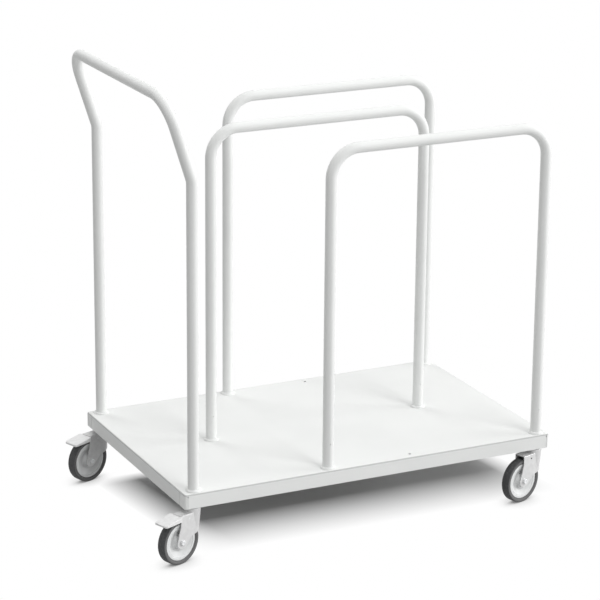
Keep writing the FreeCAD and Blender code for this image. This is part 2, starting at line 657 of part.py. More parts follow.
def make_fork(name, end, side):
    """A pressed fork: a round head that runs down in front as a hood, and two tapering legs."""
    body = new_body(name + "_fork")
    head_radius = "Sheet.fork_head_diameter / 2"
    neck_radius = "%s / 2" % FORK_WIDTH
    neck_height = "(%s + Sheet.hood_front_rise)" % AXLE_HEIGHT
    head = new_sketch(body, "XZ_Plane")
    draw_polygon(head, [("0", AXLE_HEIGHT), (neck_radius, AXLE_HEIGHT),
                        (neck_radius, neck_height), (head_radius, CROWN_TOP), ("0", CROWN_TOP)])
    revolve(body, "Revolution", head, "Z_Axis")
    crown = number(CROWN_TOP)
    round_edges(body, "Sheet.fork_head_round", lambda edge: level(edge, crown))

    # The leg's slanted edges touch the round end of the leg at these points.
    front_x = "%s - Sheet.fork_leg_end * sin(Sheet.hood_edge_angle)" % TRAIL
    front_z = "%s - Sheet.fork_leg_end * cos(Sheet.hood_edge_angle)" % AXLE_HEIGHT
    rear_x = "%s + Sheet.fork_leg_end * cos(Sheet.fork_leg_tilt)" % TRAIL
    rear_z = "%s + Sheet.fork_leg_end * sin(Sheet.fork_leg_tilt)" % AXLE_HEIGHT
    knee_z = "%s + Sheet.fork_leg_height" % AXLE_HEIGHT
    hood_x = "Sheet.fork_head_diameter / 2 - Sheet.fork_wall"
    hood_z = "%s + (%s - (%s)) / tan(Sheet.hood_edge_angle)" % (front_z, front_x, hood_x)
    legs = new_sketch(body, "XZ_Plane")
    draw_polygon(legs, [("0", ROOF_TOP), ("Sheet.fork_roof_length", ROOF_TOP),
                        ("Sheet.fork_roof_length", knee_z), (rear_x, rear_z), (front_x, front_z),
                        (hood_x, hood_z), ("0", hood_z)])
    extrude(body, "Pad", legs, FORK_WIDTH, symmetric=True)
    leg_ends = new_sketch(body, "XZ_Plane")
    draw_circle(leg_ends, TRAIL, AXLE_HEIGHT, "Sheet.fork_leg_end")
    extrude(body, "Pad", leg_ends, FORK_WIDTH, symmetric=True)

    below_hood = new_sketch(body, "XZ_Plane")
    beyond = "(%s + %s)" % (head_radius, OVERCUT)
    draw_polygon(below_hood, [("-1 * %s" % beyond, "0"), ("-1 * %s" % beyond, neck_height),
                              ("0", "%s + Sheet.hood_middle_rise" % hood_z), (hood_x, hood_z),
                              (front_x, front_z), (front_x, "0")])
    extrude(body, "Pocket", below_hood, FORK_WIDTH + " * 2", symmetric=True)
    inside = new_sketch(body, "XZ_Plane")
    inner_neck = "%s - Sheet.fork_wall" % neck_radius
    draw_polygon(inside, [("0", "0"), (inner_neck, "0"), (inner_neck, neck_height),
                          ("%s - Sheet.fork_wall" % head_radius, CROWN_UNDERSIDE), ("0", CROWN_UNDERSIDE)])
    revolve(body, "Groove", inside, "Z_Axis")
    slot = new_sketch(body, "XZ_Plane")
    draw_rectangle(slot, ("0", "0"), ("2 * Sheet.wheel_diameter", ROOF_UNDERSIDE))
    extrude(body, "Pocket", slot, FORK_GAP, symmetric=True)

    roof = number(ROOF_TOP)
    half_width = number(FORK_WIDTH) / 2

    def shoulder(edge):
        middle = edge.BoundBox.Center
        return level(edge, roof) and abs(abs(middle.y) - half_width) < 1e-3 and edge.BoundBox.XLength > 5

    round_edges(body, "Sheet.fork_shoulder_round", shoulder)
    king_hole = new_sketch(body, "XY_Plane", CROWN_UNDERSIDE)
    draw_circle(king_hole, "0", "0", "Sheet.king_bolt / 2 + Sheet.running_play")
    extrude(body, "Pocket", king_hole, "2 * Sheet.fork_crown", reverse=True)
    cross_holes = new_sketch(body, "XZ_Plane")
    draw_circle(cross_holes, TRAIL, AXLE_HEIGHT, "Sheet.axle_bolt / 2 + Sheet.axle_hole_play")
    draw_circle(cross_holes, "Sheet.pivot_set_back", PIVOT_HEIGHT, "Sheet.pivot_pin / 2")
    extrude(body, "Pocket", cross_holes, "2 * " + FORK_WIDTH, symmetric=True)
    caster_place(body, end, side)


def make_axle(name, end, side):
    """The axle bolt, its nut and the sleeve that it clamps between the legs."""
    half = "%s / 2" % FORK_WIDTH
    length = "%s + Sheet.axle_nut_height + Sheet.axle_end" % FORK_WIDTH
    lying = {"turn": "90", "axis": (1, 0, 0)}
    bolt = new_bolt("Sheet.axle_bolt", length, "Sheet.axle_flats", "Sheet.axle_head")
    nut = new_nut("Sheet.axle_flats", "Sheet.axle_bolt", "Sheet.axle_nut_height")
    sleeve = new_ring(SLEEVE_RADIUS, "Sheet.axle_bolt / 2", FORK_GAP)
    starts = (("axle_bolt", bolt, half), ("axle_nut", nut, "-1 * (%s)" % half),
              ("axle_sleeve", sleeve, "%s / 2" % FORK_GAP))
    for piece, shape, start in starts:
        place(shape, y=start, **lying)
        caster_place(group([shape], "%s_%s" % (name, piece)), end, side, TRAIL, AXLE_HEIGHT)


def make_wheel(name, end, side):
    """The wheel: a dished centre with a plain bore, and a tyre with a rounded tread."""
    hub_half = "(%s / 2 - Sheet.side_play)" % FORK_GAP
    bead = "(%s - Sheet.rim_bead)" % RIM_RADIUS
    hub_radius = "Sheet.hub_diameter / 2"
    half_section = [("%s + Sheet.running_play" % SLEEVE_RADIUS, hub_half),
                    (hub_radius, hub_half),
                    ("%s + Sheet.hub_slope" % hub_radius, "Sheet.web_root_gauge / 2"),
                    ("%s - Sheet.rim_slope" % bead, "Sheet.web_gauge / 2"),
                    (bead, "Sheet.rim_width / 2"),
                    (RIM_RADIUS, "Sheet.rim_width / 2")]
    other_half = [(radius, "-1 * (%s)" % offset) for radius, offset in reversed(half_section)]
    centre = new_body(name + "_wheel_centre")
    section = new_sketch(centre, "XY_Plane")
    draw_polygon(section, half_section + other_half)
    revolve(centre, "Revolution", section, "Y_Axis")
    caster_place(centre, end, side, TRAIL, AXLE_HEIGHT)

    tyre = new_body(name + "_tyre")
    section = new_sketch(tyre, "XY_Plane")
    shoulder = "(%s - Sheet.sidewall_height)" % AXLE_HEIGHT
    near_half = [(RIM_RADIUS, "Sheet.rim_width / 2"), (shoulder, "Sheet.tyre_width / 2"),
                 (AXLE_HEIGHT, "Sheet.tyre_width / 2")]
    far_half = [(radius, "-1 * %s" % offset) for radius, offset in reversed(near_half)]
    draw_polygon(section, near_half + far_half)
    revolve(tyre, "Revolution", section, "Y_Axis")

    def rim_of(radius):
        return lambda edge: isinstance(edge.Curve, Part.Circle) and abs(edge.Curve.Radius - radius) < 1e-3

    round_edges(tyre, "Sheet.tread_round", rim_of(number(AXLE_HEIGHT)))
    round_edges(tyre, "Sheet.sidewall_round", rim_of(number(shoulder)))
    caster_place(tyre, end, side, TRAIL, AXLE_HEIGHT)


def make_brake(name, end, side):
    """The brake: a foot pedal on a cross pin, with a shoe over the top of the tyre."""
    pin = new_cylinder("Sheet.pivot_pin / 2", FORK_WIDTH)
    place(pin, y="%s / 2" % FORK_WIDTH, turn="90", axis=(1, 0, 0))
    caster_place(group([pin], name + "_pedal_pin"), end, side, "Sheet.pivot_set_back", PIVOT_HEIGHT)

    pedal = new_body(name + "_pedal")
    tip_low = "(%s - Sheet.pedal_lip)" % PEDAL_TIP_TOP
    skirt_low = "(%s - Sheet.pedal_skirt)" % PEDAL_START_TOP
    side_view = new_sketch(pedal, "XZ_Plane")
    draw_polygon(side_view, [(PEDAL_START, PEDAL_START_TOP), (PEDAL_REACH, PEDAL_TIP_TOP),
                             (PEDAL_REACH, tip_low), (PEDAL_START, skirt_low)])
    extrude(pedal, "Pad", side_view, "Sheet.pedal_width", symmetric=True)
    half_width = number("Sheet.pedal_width") / 2

    def upright_at(distance):
        def chosen(edge):
            box = edge.BoundBox
            at_side = abs(abs(box.Center.y) - half_width) < 1e-3
            return at_side and box.XLength < 1e-3 and abs(box.Center.x - distance) < 1e-3
        return chosen

    round_edges(pedal, "Sheet.pedal_inner_round", upright_at(number(PEDAL_START)))
    round_edges(pedal, "Sheet.pedal_tip_round", upright_at(number(PEDAL_REACH)))
    slope = (number(PEDAL_START_TOP) - number(PEDAL_TIP_TOP)) / number("Sheet.pedal_length")

    def on_top(edge):
        heights = [vertex.Z + slope * (vertex.X - number(PEDAL_START)) for vertex in edge.Vertexes]
        return all(abs(height - number(PEDAL_START_TOP)) < 1e-3 for height in heights)

    round_edges(pedal, "Sheet.pedal_brow", on_top)
    hollow = new_sketch(pedal, "XZ_Plane")
    hollow_start = "(%s + Sheet.pedal_inner_wall)" % PEDAL_START
    hollow_end = "(%s - Sheet.pedal_gauge)" % PEDAL_REACH
    below_skirt = "min(%s; %s) - %s" % (skirt_low, tip_low, OVERCUT)
    fall = "((%s - %s) / Sheet.pedal_length)" % (PEDAL_START_TOP, PEDAL_TIP_TOP)
    underside = "(%s - Sheet.pedal_gauge)" % PEDAL_START_TOP

    def underside_at(along):
        return along, "%s - %s * (%s - %s)" % (underside, fall, along, PEDAL_START)

    draw_polygon(hollow, [underside_at(hollow_start), underside_at(hollow_end),
                          (hollow_end, below_skirt), (hollow_start, below_skirt)])
    extrude(pedal, "Pocket", hollow, "Sheet.pedal_width - 2 * Sheet.pedal_gauge", symmetric=True)
    tyre_room = new_sketch(pedal, "XZ_Plane")
    draw_rectangle(tyre_room, ("%s - %s" % (PEDAL_START, OVERCUT), below_skirt),
                   ("%s + %s" % (hollow_start, OVERCUT), "%s - 2 * Sheet.pedal_gauge" % underside))
    extrude(pedal, "Pocket", tyre_room, "Sheet.pedal_tyre_room", symmetric=True)

    tongue_width = "(%s - 2 * Sheet.tongue_side_play)" % FORK_GAP
    tongue = new_sketch(pedal, "XZ_Plane")
    half_gauge = "Sheet.pedal_gauge / 2"
    root = "(%s + Sheet.pedal_gauge)" % PEDAL_START
    root_height = "(%s - Sheet.pedal_gauge)" % underside
    draw_polygon(tongue, [("Sheet.pivot_set_back", "%s - %s" % (PIVOT_HEIGHT, half_gauge)),
                          (root, "%s - %s" % (root_height, half_gauge)),
                          (root, "%s + %s" % (root_height, half_gauge)),
                          ("Sheet.pivot_set_back", "%s + %s" % (PIVOT_HEIGHT, half_gauge))])
    extrude(pedal, "Pad", tongue, tongue_width, symmetric=True)
    eye = new_sketch(pedal, "XZ_Plane")
    draw_circle(eye, "Sheet.pivot_set_back", PIVOT_HEIGHT, "Sheet.pivot_eye / 2")
    extrude(pedal, "Pad", eye, tongue_width, symmetric=True)
    pin_hole = new_sketch(pedal, "XZ_Plane")
    draw_circle(pin_hole, "Sheet.pivot_set_back", PIVOT_HEIGHT,
                "Sheet.pivot_pin / 2 + Sheet.running_play")
    extrude(pedal, "Pocket", pin_hole, "2 * Sheet.pedal_width", symmetric=True)
    caster_place(pedal, end, side)

    # With the pedal pressed down, the shoe's lower face comes to rest just over the tread.
    shoe = new_body(name + "_brake_shoe")
    block = new_sketch(shoe, "XZ_Plane")
    shoe_end = "(%s + Sheet.shoe_length)" % hollow_start
    tread = "(%s + sqrt(%s ^ 2 - (%%s - %s) ^ 2))" % (AXLE_HEIGHT, AXLE_HEIGHT, TRAIL)
    travel = "((%s - Sheet.pivot_set_back) * tan(Sheet.pedal_press))"

    def over_tread(along):
        return along, "%s + %s + Sheet.shoe_gap" % (tread % along, travel % along)

    draw_polygon(block, [underside_at(hollow_start), underside_at(shoe_end),
                         over_tread(shoe_end), over_tread(hollow_start)])
    extrude(shoe, "Pad", block, "Sheet.shoe_width", symmetric=True)
    caster_place(shoe, end, side)


def write_parts():
    """Checks every object and every sub-part's shape, and then writes the sub-parts."""
    doc.recompute()
    for entry in doc.Objects:
        if "Invalid" in entry.State or "Error" in entry.State:
            raise RuntimeError("%s did not build: %s" % (entry.Label, entry.State))
    for piece in NODES:
        if piece.Shape.isNull() or not piece.Shape.isValid() or not piece.Shape.Solids:
            raise RuntimeError("%s has no valid solid" % piece.Label)
    os.makedirs("parts", exist_ok=True)
    for piece in NODES:
        piece.Shape.exportStep("parts/%s.step" % piece.Label)


make_deck_tray()
make_centre_channel()
make_push_handle()
make_hoop("front_hoop", SIDE_HOOP_X, "-1 * %s" % SIDE_ROW, "0")
make_hoop("middle_hoop", "Sheet.middle_hoop_shift", "0", "0")
make_hoop("back_hoop", SIDE_HOOP_X, SIDE_ROW, "180")
make_foot_fixings()
make_swivel_bearings()
for caster, corner_end, corner_side, braked in CASTERS:
    make_corner_plate(caster, corner_end, corner_side)
    make_fork(caster, corner_end, corner_side)
    make_axle(caster, corner_end, corner_side)
    make_wheel(caster, corner_end, corner_side)
    if braked:
        make_brake(caster, corner_end, corner_side)
write_parts()
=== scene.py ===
import json
import math

import bmesh
import bpy
from mathutils import Matrix, Vector


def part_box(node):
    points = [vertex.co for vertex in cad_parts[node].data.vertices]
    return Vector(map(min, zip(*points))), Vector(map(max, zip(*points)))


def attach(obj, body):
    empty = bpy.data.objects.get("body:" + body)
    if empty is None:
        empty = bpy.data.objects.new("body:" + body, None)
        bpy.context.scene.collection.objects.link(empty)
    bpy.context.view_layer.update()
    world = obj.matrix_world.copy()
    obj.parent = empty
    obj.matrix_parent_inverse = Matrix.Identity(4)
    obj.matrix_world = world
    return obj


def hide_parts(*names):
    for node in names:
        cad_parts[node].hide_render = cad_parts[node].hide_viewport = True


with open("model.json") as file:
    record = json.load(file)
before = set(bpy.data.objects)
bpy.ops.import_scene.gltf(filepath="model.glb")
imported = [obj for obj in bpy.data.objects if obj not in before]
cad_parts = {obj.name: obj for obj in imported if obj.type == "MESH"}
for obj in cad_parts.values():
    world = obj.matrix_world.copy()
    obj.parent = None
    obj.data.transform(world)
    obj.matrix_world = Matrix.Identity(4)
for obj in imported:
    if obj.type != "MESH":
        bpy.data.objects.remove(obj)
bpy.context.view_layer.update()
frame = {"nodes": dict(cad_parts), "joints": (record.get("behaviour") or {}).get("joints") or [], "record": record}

# Sizes are in metres, in the trolley's own frame: Z up, X along the deck, the push handle at -X.
MM = 0.001
CASTERS = ("front_left", "back_left", "front_right", "back_right")
JOINTS = {joint["name"]: joint for joint in frame["joints"]}
DECK_LOW, DECK_HIGH = (Vector(corner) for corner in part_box("deck_tray"))
DECK_CENTRE = (DECK_LOW + DECK_HIGH) / 2

# Wheel: radii from the axle outwards, and half widths from the wheel's middle.
BORE_RADIUS = 8.05 * MM
HUB_RADIUS = 13.5 * MM
HUB_HALF_WIDTH = 14.2 * MM
ROOT_RADIUS = 20.5 * MM
ROOT_HALF_WIDTH = 3.0 * MM
WEB_RADIUS = 26 * MM
WEB_HALF_WIDTH = 2.4 * MM
DISH_GROOVE_RADII = (42.2 * MM, 42.7 * MM, 43.9 * MM, 44.4 * MM)
DISH_GROOVE_DEPTH = 0.9 * MM
BEAD_RADIUS = 45 * MM
RIM_RADIUS = 50.5 * MM
RIM_HALF_WIDTH = 10 * MM
SIDEWALL_RADIUS = 56 * MM
SIDEWALL_GROOVE_DEPTH = 0.6 * MM
WHEEL_RADIUS = 62.5 * MM
TYRE_HALF_WIDTH = 13 * MM
TREAD_ROUNDING = 4.2 * MM
SEAM_HEIGHT = 0.25 * MM

# Axle bolt and nut.
FORK_HALF_WIDTH = 17 * MM
AXLE_FLATS = 13 * MM
AXLE_RADIUS = 4 * MM
AXLE_HEAD = 5.3 * MM
AXLE_NUT = 6.8 * MM
AXLE_END = 1.5 * MM
AXLE_END_CHAMFER = 0.7 * MM
THREAD_PITCH = 1.25 * MM
THREAD_DEPTH = 0.35 * MM
SHARP_ANGLE = math.radians(32)

# Mesh attributes by which a wheel's materials take painted light and shade, and where they do so.
# Painted light: a tyre's sidewalls are painted paler than its tread, standing in for the light they catch.
SIDEWALL = "sidewall"
TREAD_EDGE_RADIUS = 61.5 * MM
SHOULDER_BLEND = 2.5 * MM
# Painted shade: a wheel centre's dish is darkened towards the hub, standing in for the shade in that hollow.
HOLLOW = "hollow"
HOLLOW_EDGE_RADIUS = 38 * MM
HOLLOW_SHADE_TONE = 0.84

# Camera: angles in degrees, and the point that it looks at, from the floor below the deck's centre.
CAMERA_TURN = -26.019
CAMERA_RISE = 17.542
CAMERA_ROLL = 0.507
CAMERA_TARGET = Vector((-82.789, -61.398, 581.928)) * MM
CAMERA_DISTANCE = 6.94307
FOCAL_PIXELS = 2528.42
FRAME_PIXELS = 600
SENSOR_WIDTH = 36

# Lamps: name, place, width and watts.
LAMPS = (
    ("lamp_right", (18.4, -6.0, 4.0), 8.0, 1840),
    ("lamp_front", (6.0, -17.6, 16.4), 10.4, 1950),
    ("lamp_top", (0.8, -0.4, 16.4), 10.4, 880),
    ("lamp_back", (-4.8, 16.8, 16.4), 10.0, 920),
)
LAMP_AIM = Vector((0, 0, 0.4))
WORLD_LIGHT = 0.37
REFLECTED_RAYS = ("Is Glossy Ray", "Is Transmission Ray")

# Floor, and the shade on it close to the wheels, by how much of the sky a place sees within reach.
FLOOR_COLOUR = 0.52
FLOOR_HALF = 30.0
CONTACT_REACH = 70 * MM
CONTACT_SAMPLES = 16
CONTACT_FULL = 0.15
CONTACT_NONE = 0.88
CONTACT_SHADE = 0.85
# Shade under the deck: axis, edge of the deck, and how far inside that edge it is full and gone.
SHADE_FADES = (
    (0, DECK_LOW.x, 150 * MM, 25 * MM),
    (0, DECK_HIGH.x, 40 * MM, -35 * MM),
    (1, DECK_LOW.y, 255 * MM, 30 * MM),
    (1, DECK_HIGH.y, 105 * MM, 50 * MM),
)
SHADE_SLANT = 0.12


class Surface:
    """A material with one main shader, and short ways to give it patterns in the part's own metres."""

    def __init__(self, name, colour, roughness, metallic=0.0, specular=0.5):
        self.material = bpy.data.materials.new(name)
        self.material.use_nodes = True
        self.tree = self.material.node_tree
        self.shader = self.tree.nodes["Principled BSDF"]
        self.shader.inputs["Base Color"].default_value = (*colour, 1)
        self.shader.inputs["Roughness"].default_value = roughness
        self.shader.inputs["Metallic"].default_value = metallic
        self.shader.inputs["Specular IOR Level"].default_value = specular
        self.place = self.add("ShaderNodeTexCoord").outputs["Object"]

    def add(self, kind, **settings):
        node = self.tree.nodes.new(kind)
        for key, value in settings.items():
            setattr(node, key, value)
        return node

    def wire(self, source, target):
        self.tree.links.new(source, target)

    def stretched(self, scale):
        """The part's coordinates, stretched so that a pattern runs along one direction."""
        mapping = self.add("ShaderNodeMapping")
        mapping.inputs["Scale"].default_value = scale
        self.wire(self.place, mapping.inputs["Vector"])
        return mapping.outputs["Vector"]

    def noise(self, feature, detail=2.0, place=None):
        """Soft noise whose blotches are about one feature across."""
        node = self.add("ShaderNodeTexNoise")
        node.inputs["Scale"].default_value = 1 / feature
        node.inputs["Detail"].default_value = detail
        self.wire(place or self.place, node.inputs["Vector"])
        return node.outputs["Fac"]

    def levels(self, factor, low, high, start=0.0, end=1.0):
        """The factor, stretched so that low becomes start and high becomes end."""
        node = self.add("ShaderNodeMapRange")
        node.clamp = True
        for key, value in (("From Min", low), ("From Max", high), ("To Min", start), ("To Max", end)):
            node.inputs[key].default_value = value
        self.wire(factor, node.inputs["Value"])
        return node.outputs["Result"]

    def mottle(self, feature, detail, start=0.0, end=1.0):
        """Noise, stretched so that most of what it ranges over goes from start to end."""
        return self.levels(self.noise(feature, detail), 0.3, 0.7, start, end)

    def combine(self, operation, first, second):
        node = self.add("ShaderNodeMath", operation=operation)
        for slot, value in zip(node.inputs, (first, second)):
            if isinstance(value, (int, float)):
                slot.default_value = value
            else:
                self.wire(value, slot)
        return node.outputs["Value"]

    def blend(self, factor, first, second):
        """A colour between two others. Either may be an output or three numbers."""
        node = self.add("ShaderNodeMix", data_type="RGBA")
        self.wire(factor, node.inputs["Factor"])
        for slot, value in ((node.inputs[6], first), (node.inputs[7], second)):
            if isinstance(value, tuple):
                slot.default_value = (*value, 1)
            else:
                self.wire(value, slot)
        return node.outputs[2]

    def edges(self, radius):
        """1 on sharp edges, 0 on flat faces, found within this radius."""
        softened = self.add("ShaderNodeBevel", samples=4)
        softened.inputs["Radius"].default_value = radius
        plain = self.add("ShaderNodeNewGeometry")
        dot = self.add("ShaderNodeVectorMath", operation="DOT_PRODUCT")
        self.wire(softened.outputs["Normal"], dot.inputs[0])
        self.wire(plain.outputs["Normal"], dot.inputs[1])
        flat, sharp = 0.985, 0.86
        return self.levels(dot.outputs["Value"], flat, sharp)

    def folds(self):
        """1 where the surface leans between upright and level, as on a fold along a top edge, where powder_coat
        can paint shade.
        """
        upward = self.add("ShaderNodeSeparateXYZ")
        self.wire(self.add("ShaderNodeNewGeometry").outputs["Normal"], upward.inputs["Vector"])
        not_upright = self.levels(upward.outputs["Z"], 0.05, 0.25)
        not_level = self.levels(upward.outputs["Z"], 0.90, 0.985, 1, 0)
        return self.combine("MULTIPLY", not_upright, not_level)

    def colour(self, source):
        self.wire(source, self.shader.inputs["Base Color"])

    def roughness(self, source):
        self.wire(source, self.shader.inputs["Roughness"])

    def relief(self, height, depth):
        """Raises the surface by the height, at most by depth."""
        node = self.add("ShaderNodeBump")
        node.inputs["Distance"].default_value = depth
        self.wire(height, node.inputs["Height"])
        self.wire(node.outputs["Normal"], self.shader.inputs["Normal"])


def scaled(colour, factor):
    return tuple(value * factor for value in colour)


def powder_coat(name, colour, roughness=0.55, painted_fold_shade=False):
    """Satin powder coat: a fine orange peel, uneven in tone and gloss, thinner on edges, with painted shade along
    folds if asked.
    """
    surface = Surface(name, colour, roughness, specular=0.3)
    clouds = surface.mottle(140 * MM, 3)
    base = surface.blend(clouds, scaled(colour, 0.985), scaled(colour, 1.012))
    specks = surface.levels(surface.noise(0.9 * MM, 1), 0.64, 0.78, 0, 0.25)
    base = surface.blend(specks, base, scaled(colour, 0.93))
    patches = surface.levels(surface.noise(9 * MM, 4), 0.45, 0.7, 0.05, 0.55)
    rubbed = surface.combine("MULTIPLY", surface.edges(1.2 * MM), patches)
    base = surface.blend(rubbed, base, scaled(colour, 0.78))
    # Painted shade: folds along top edges are darkened in colour, standing in for a dark line of shade there.
    if painted_fold_shade:
        base = surface.blend(surface.folds(), base, scaled(colour, 0.64))
    surface.colour(base)
    surface.roughness(surface.mottle(35 * MM, 4, roughness - 0.06, roughness + 0.06))
    surface.relief(surface.noise(1.6 * MM, 1), 0.012 * MM)
    return surface.material


def zinc_plate(name, colour, metallic, roughness):
    """Zinc plate on pressed steel: faint blotches, fine rolling marks and brighter edges."""
    surface = Surface(name, colour, roughness, metallic)
    blotches = surface.levels(surface.noise(12 * MM, 4), 0.32, 0.68)
    base = surface.blend(blotches, scaled(colour, 0.93), scaled(colour, 1.03))
    rubbed = surface.levels(surface.edges(0.8 * MM), 0, 1, 0, 0.5)
    surface.colour(surface.blend(rubbed, base, scaled(colour, 1.1)))
    marks = surface.noise(0.5 * MM, 3, surface.stretched((1, 1, 0.12)))
    dullness = surface.combine("ADD", marks, surface.noise(20 * MM, 3))
    surface.roughness(surface.levels(dullness, 0.7, 1.3, roughness - 0.07, roughness + 0.09))
    surface.relief(marks, 0.006 * MM)
    return surface.material


def moulded_plastic(name, colour, roughness):
    """Moulded plastic: a fine even grain, slightly cloudy in tone, with painted shade in a wheel's hollow."""
    surface = Surface(name, colour, roughness, specular=0.45)
    clouds = surface.mottle(18 * MM, 3)
    base = surface.blend(clouds, scaled(colour, 0.97), scaled(colour, 1.02))
    hollow = surface.add("ShaderNodeAttribute", attribute_name=HOLLOW).outputs["Fac"]
    # Painted shade: darker in a wheel's hollow, where shade falls.
    surface.colour(surface.blend(hollow, base, scaled(colour, HOLLOW_SHADE_TONE)))
    surface.roughness(surface.mottle(5 * MM, 3, roughness - 0.06, roughness + 0.06))
    surface.relief(surface.noise(0.35 * MM, 2), 0.008 * MM)
    return surface.material


def rubber(name, colour, dust_and_sidewall_light):
    """Solid rubber: dull, with fine grain, paler where dust clings, and with painted light making a tyre's
    sidewalls paler than its tread.
    """
    surface = Surface(name, colour, 0.7, specular=0.35)
    clouds = surface.levels(surface.noise(7 * MM, 5), 0.35, 0.7)
    base = surface.blend(clouds, scaled(colour, 0.85), scaled(colour, 1.18))
    sidewall = surface.add("ShaderNodeAttribute", attribute_name=SIDEWALL).outputs["Fac"]
    # Painted light: the sidewalls are blended towards the pale colour, standing in for the light they catch.
    base = surface.blend(surface.levels(sidewall, 0, 1, 0, 0.65), base, dust_and_sidewall_light)
    clinging = surface.levels(surface.noise(2.2 * MM, 6), 0.52, 0.75, 0, 0.22)
    surface.colour(surface.blend(clinging, base, dust_and_sidewall_light))
    surface.roughness(surface.mottle(4 * MM, 4, 0.6, 0.82))
    surface.relief(surface.noise(0.6 * MM, 3), 0.03 * MM)
    return surface.material


MATERIALS = {
    "deck_coat": powder_coat("deck_powder_coat", (0.835, 0.845, 0.835), 0.72, painted_fold_shade=True),
    "tube_coat": powder_coat("tube_powder_coat", (0.84, 0.85, 0.84)),
    "collar": powder_coat("collar_powder_coat", (0.84, 0.85, 0.84)),
    "fork": zinc_plate("fork_zinc", (0.68, 0.68, 0.68), 0.35, 0.42),
    "pedal": zinc_plate("pedal_coat", (0.80, 0.80, 0.80), 0.0, 0.40),
    "fixings": zinc_plate("fixing_zinc", (0.78, 0.79, 0.80), 0.30, 0.45),
    "bearing": zinc_plate("bearing_steel", (0.60, 0.61, 0.63), 1.0, 0.28),
    "wheel_centre": moulded_plastic("wheel_plastic", (0.78, 0.79, 0.79), 0.42),
    "plugs": moulded_plastic("plug_plastic", (0.05, 0.05, 0.055), 0.5),
    "tyre": rubber("tyre_rubber", (0.070, 0.071, 0.073), (0.18, 0.18, 0.18)),
    "brake_shoe": rubber("shoe_rubber", (0.03, 0.03, 0.032), (0.10, 0.10, 0.10)),
}


def rounded(corners, steps=5):
    """A closed outline through corners (radius, offset, rounding), each rounded by its own amount."""
    most_of_side = 0.45
    outline = []
    for index, (radius, offset, rounding) in enumerate(corners):
        corner = Vector((radius, offset))
        before = Vector(corners[index - 1][:2]) - corner
        after = Vector(corners[(index + 1) % len(corners)][:2]) - corner
        reach = min(rounding, before.length * most_of_side, after.length * most_of_side)
        start = corner + before.normalized() * reach
        end = corner + after.normalized() * reach
        for step in range(steps + 1):
            t = step / steps
            outline.append(start * (1 - t) ** 2 + corner * 2 * t * (1 - t) + end * t ** 2)
    return outline


def both_sides(half):
    """A whole outline from its half on the positive side of the wheel."""
    return half + [(radius, -offset, rounding) for radius, offset, rounding in reversed(half)]


def add_band(mesh, ring, following):
    """Adds a band of faces between two rings of points."""
    for index in range(len(ring)):
        after = (index + 1) % len(ring)
        mesh.faces.new((ring[index], ring[after], following[after], following[index]))


def add_turned(mesh, outline, segments=96):
    """Adds a closed outline of (radius, offset) points, turned about the Y axis."""
    rings = []
    for index in range(segments):
        angle = 2 * math.pi * index / segments
        across, up = math.cos(angle), math.sin(angle)
        rings.append([mesh.verts.new((radius * across, offset, radius * up)) for radius, offset in outline])
    for ring, following in zip(rings, rings[1:] + rings[:1]):
        add_band(mesh, ring, following)


def add_hexagon(mesh, flats, low, high, bore=None):
    """Adds a hexagon along the Y axis, chamfered at both ends: a nut if it has a bore, or a bolt head."""
    steps_per_side = 8
    chamfer_radius = flats / 2 * 0.97
    chamfer_slope = math.tan(math.radians(30))
    face = bore * 1.12 if bore else chamfer_radius * 0.55
    inner = bore or chamfer_radius * 0.4
    sunk = 0.4 * MM
    columns = []
    for index in range(6 * steps_per_side):
        angle = math.radians(60 * index / steps_per_side)
        from_flat = math.radians(60 * (index % steps_per_side) / steps_per_side - 30)
        hexagon = flats / 2 / math.cos(from_flat)
        drop = max(hexagon - chamfer_radius, 0) * chamfer_slope
        column = ((inner, low + sunk), (face, low), (chamfer_radius, low), (hexagon, low + drop),
                  (hexagon, high - drop), (chamfer_radius, high), (face, high), (inner, high - sunk))
        across, up = math.cos(angle), math.sin(angle)
        columns.append([mesh.verts.new((radius * across, offset, radius * up)) for radius, offset in column])
    rings = list(zip(*columns))
    for ring, following in zip(rings, rings[1:]):
        add_band(mesh, ring, following)
    if bore:
        add_band(mesh, rings[-1], rings[0])
    else:
        mesh.faces.new(rings[0])
        mesh.faces.new(rings[-1])


def mark(mesh, attribute, strength):
    """Keeps a strength from 0 to 1 at each point of a wheel, which depends on its radius."""
    layer = mesh.verts.layers.float.new(attribute)
    for vertex in mesh.verts:
        radius = math.hypot(vertex.co.x, vertex.co.z)
        vertex[layer] = min(max(strength(radius), 0), 1)


def finish_piece(mesh, name, place, body, slot, node):
    """Makes the mesh a piece that stands for a node: put in place, finished, and riding on a body."""
    bmesh.ops.recalc_face_normals(mesh, faces=mesh.faces)
    data = bpy.data.meshes.new(name)
    mesh.to_mesh(data)
    mesh.free()
    data.transform(place)
    data.shade_smooth()
    data.set_sharp_from_angle(angle=SHARP_ANGLE)
    data.materials.append(MATERIALS[slot])
    piece = bpy.data.objects.new(name, data)
    bpy.context.scene.collection.objects.link(piece)
    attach(piece, body)
    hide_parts(node)


def wheel_place(caster):
    """The frame of a wheel: Y along its axle towards the bolt head, Z up."""
    joint = JOINTS[caster + "_spin"]
    axle = Vector(joint["axis"]).normalized()
    up = Vector((0, 0, 1))
    place = Matrix((axle.cross(up), axle, up)).transposed().to_4x4()
    place.translation = Vector(joint["pos_m"])
    return place


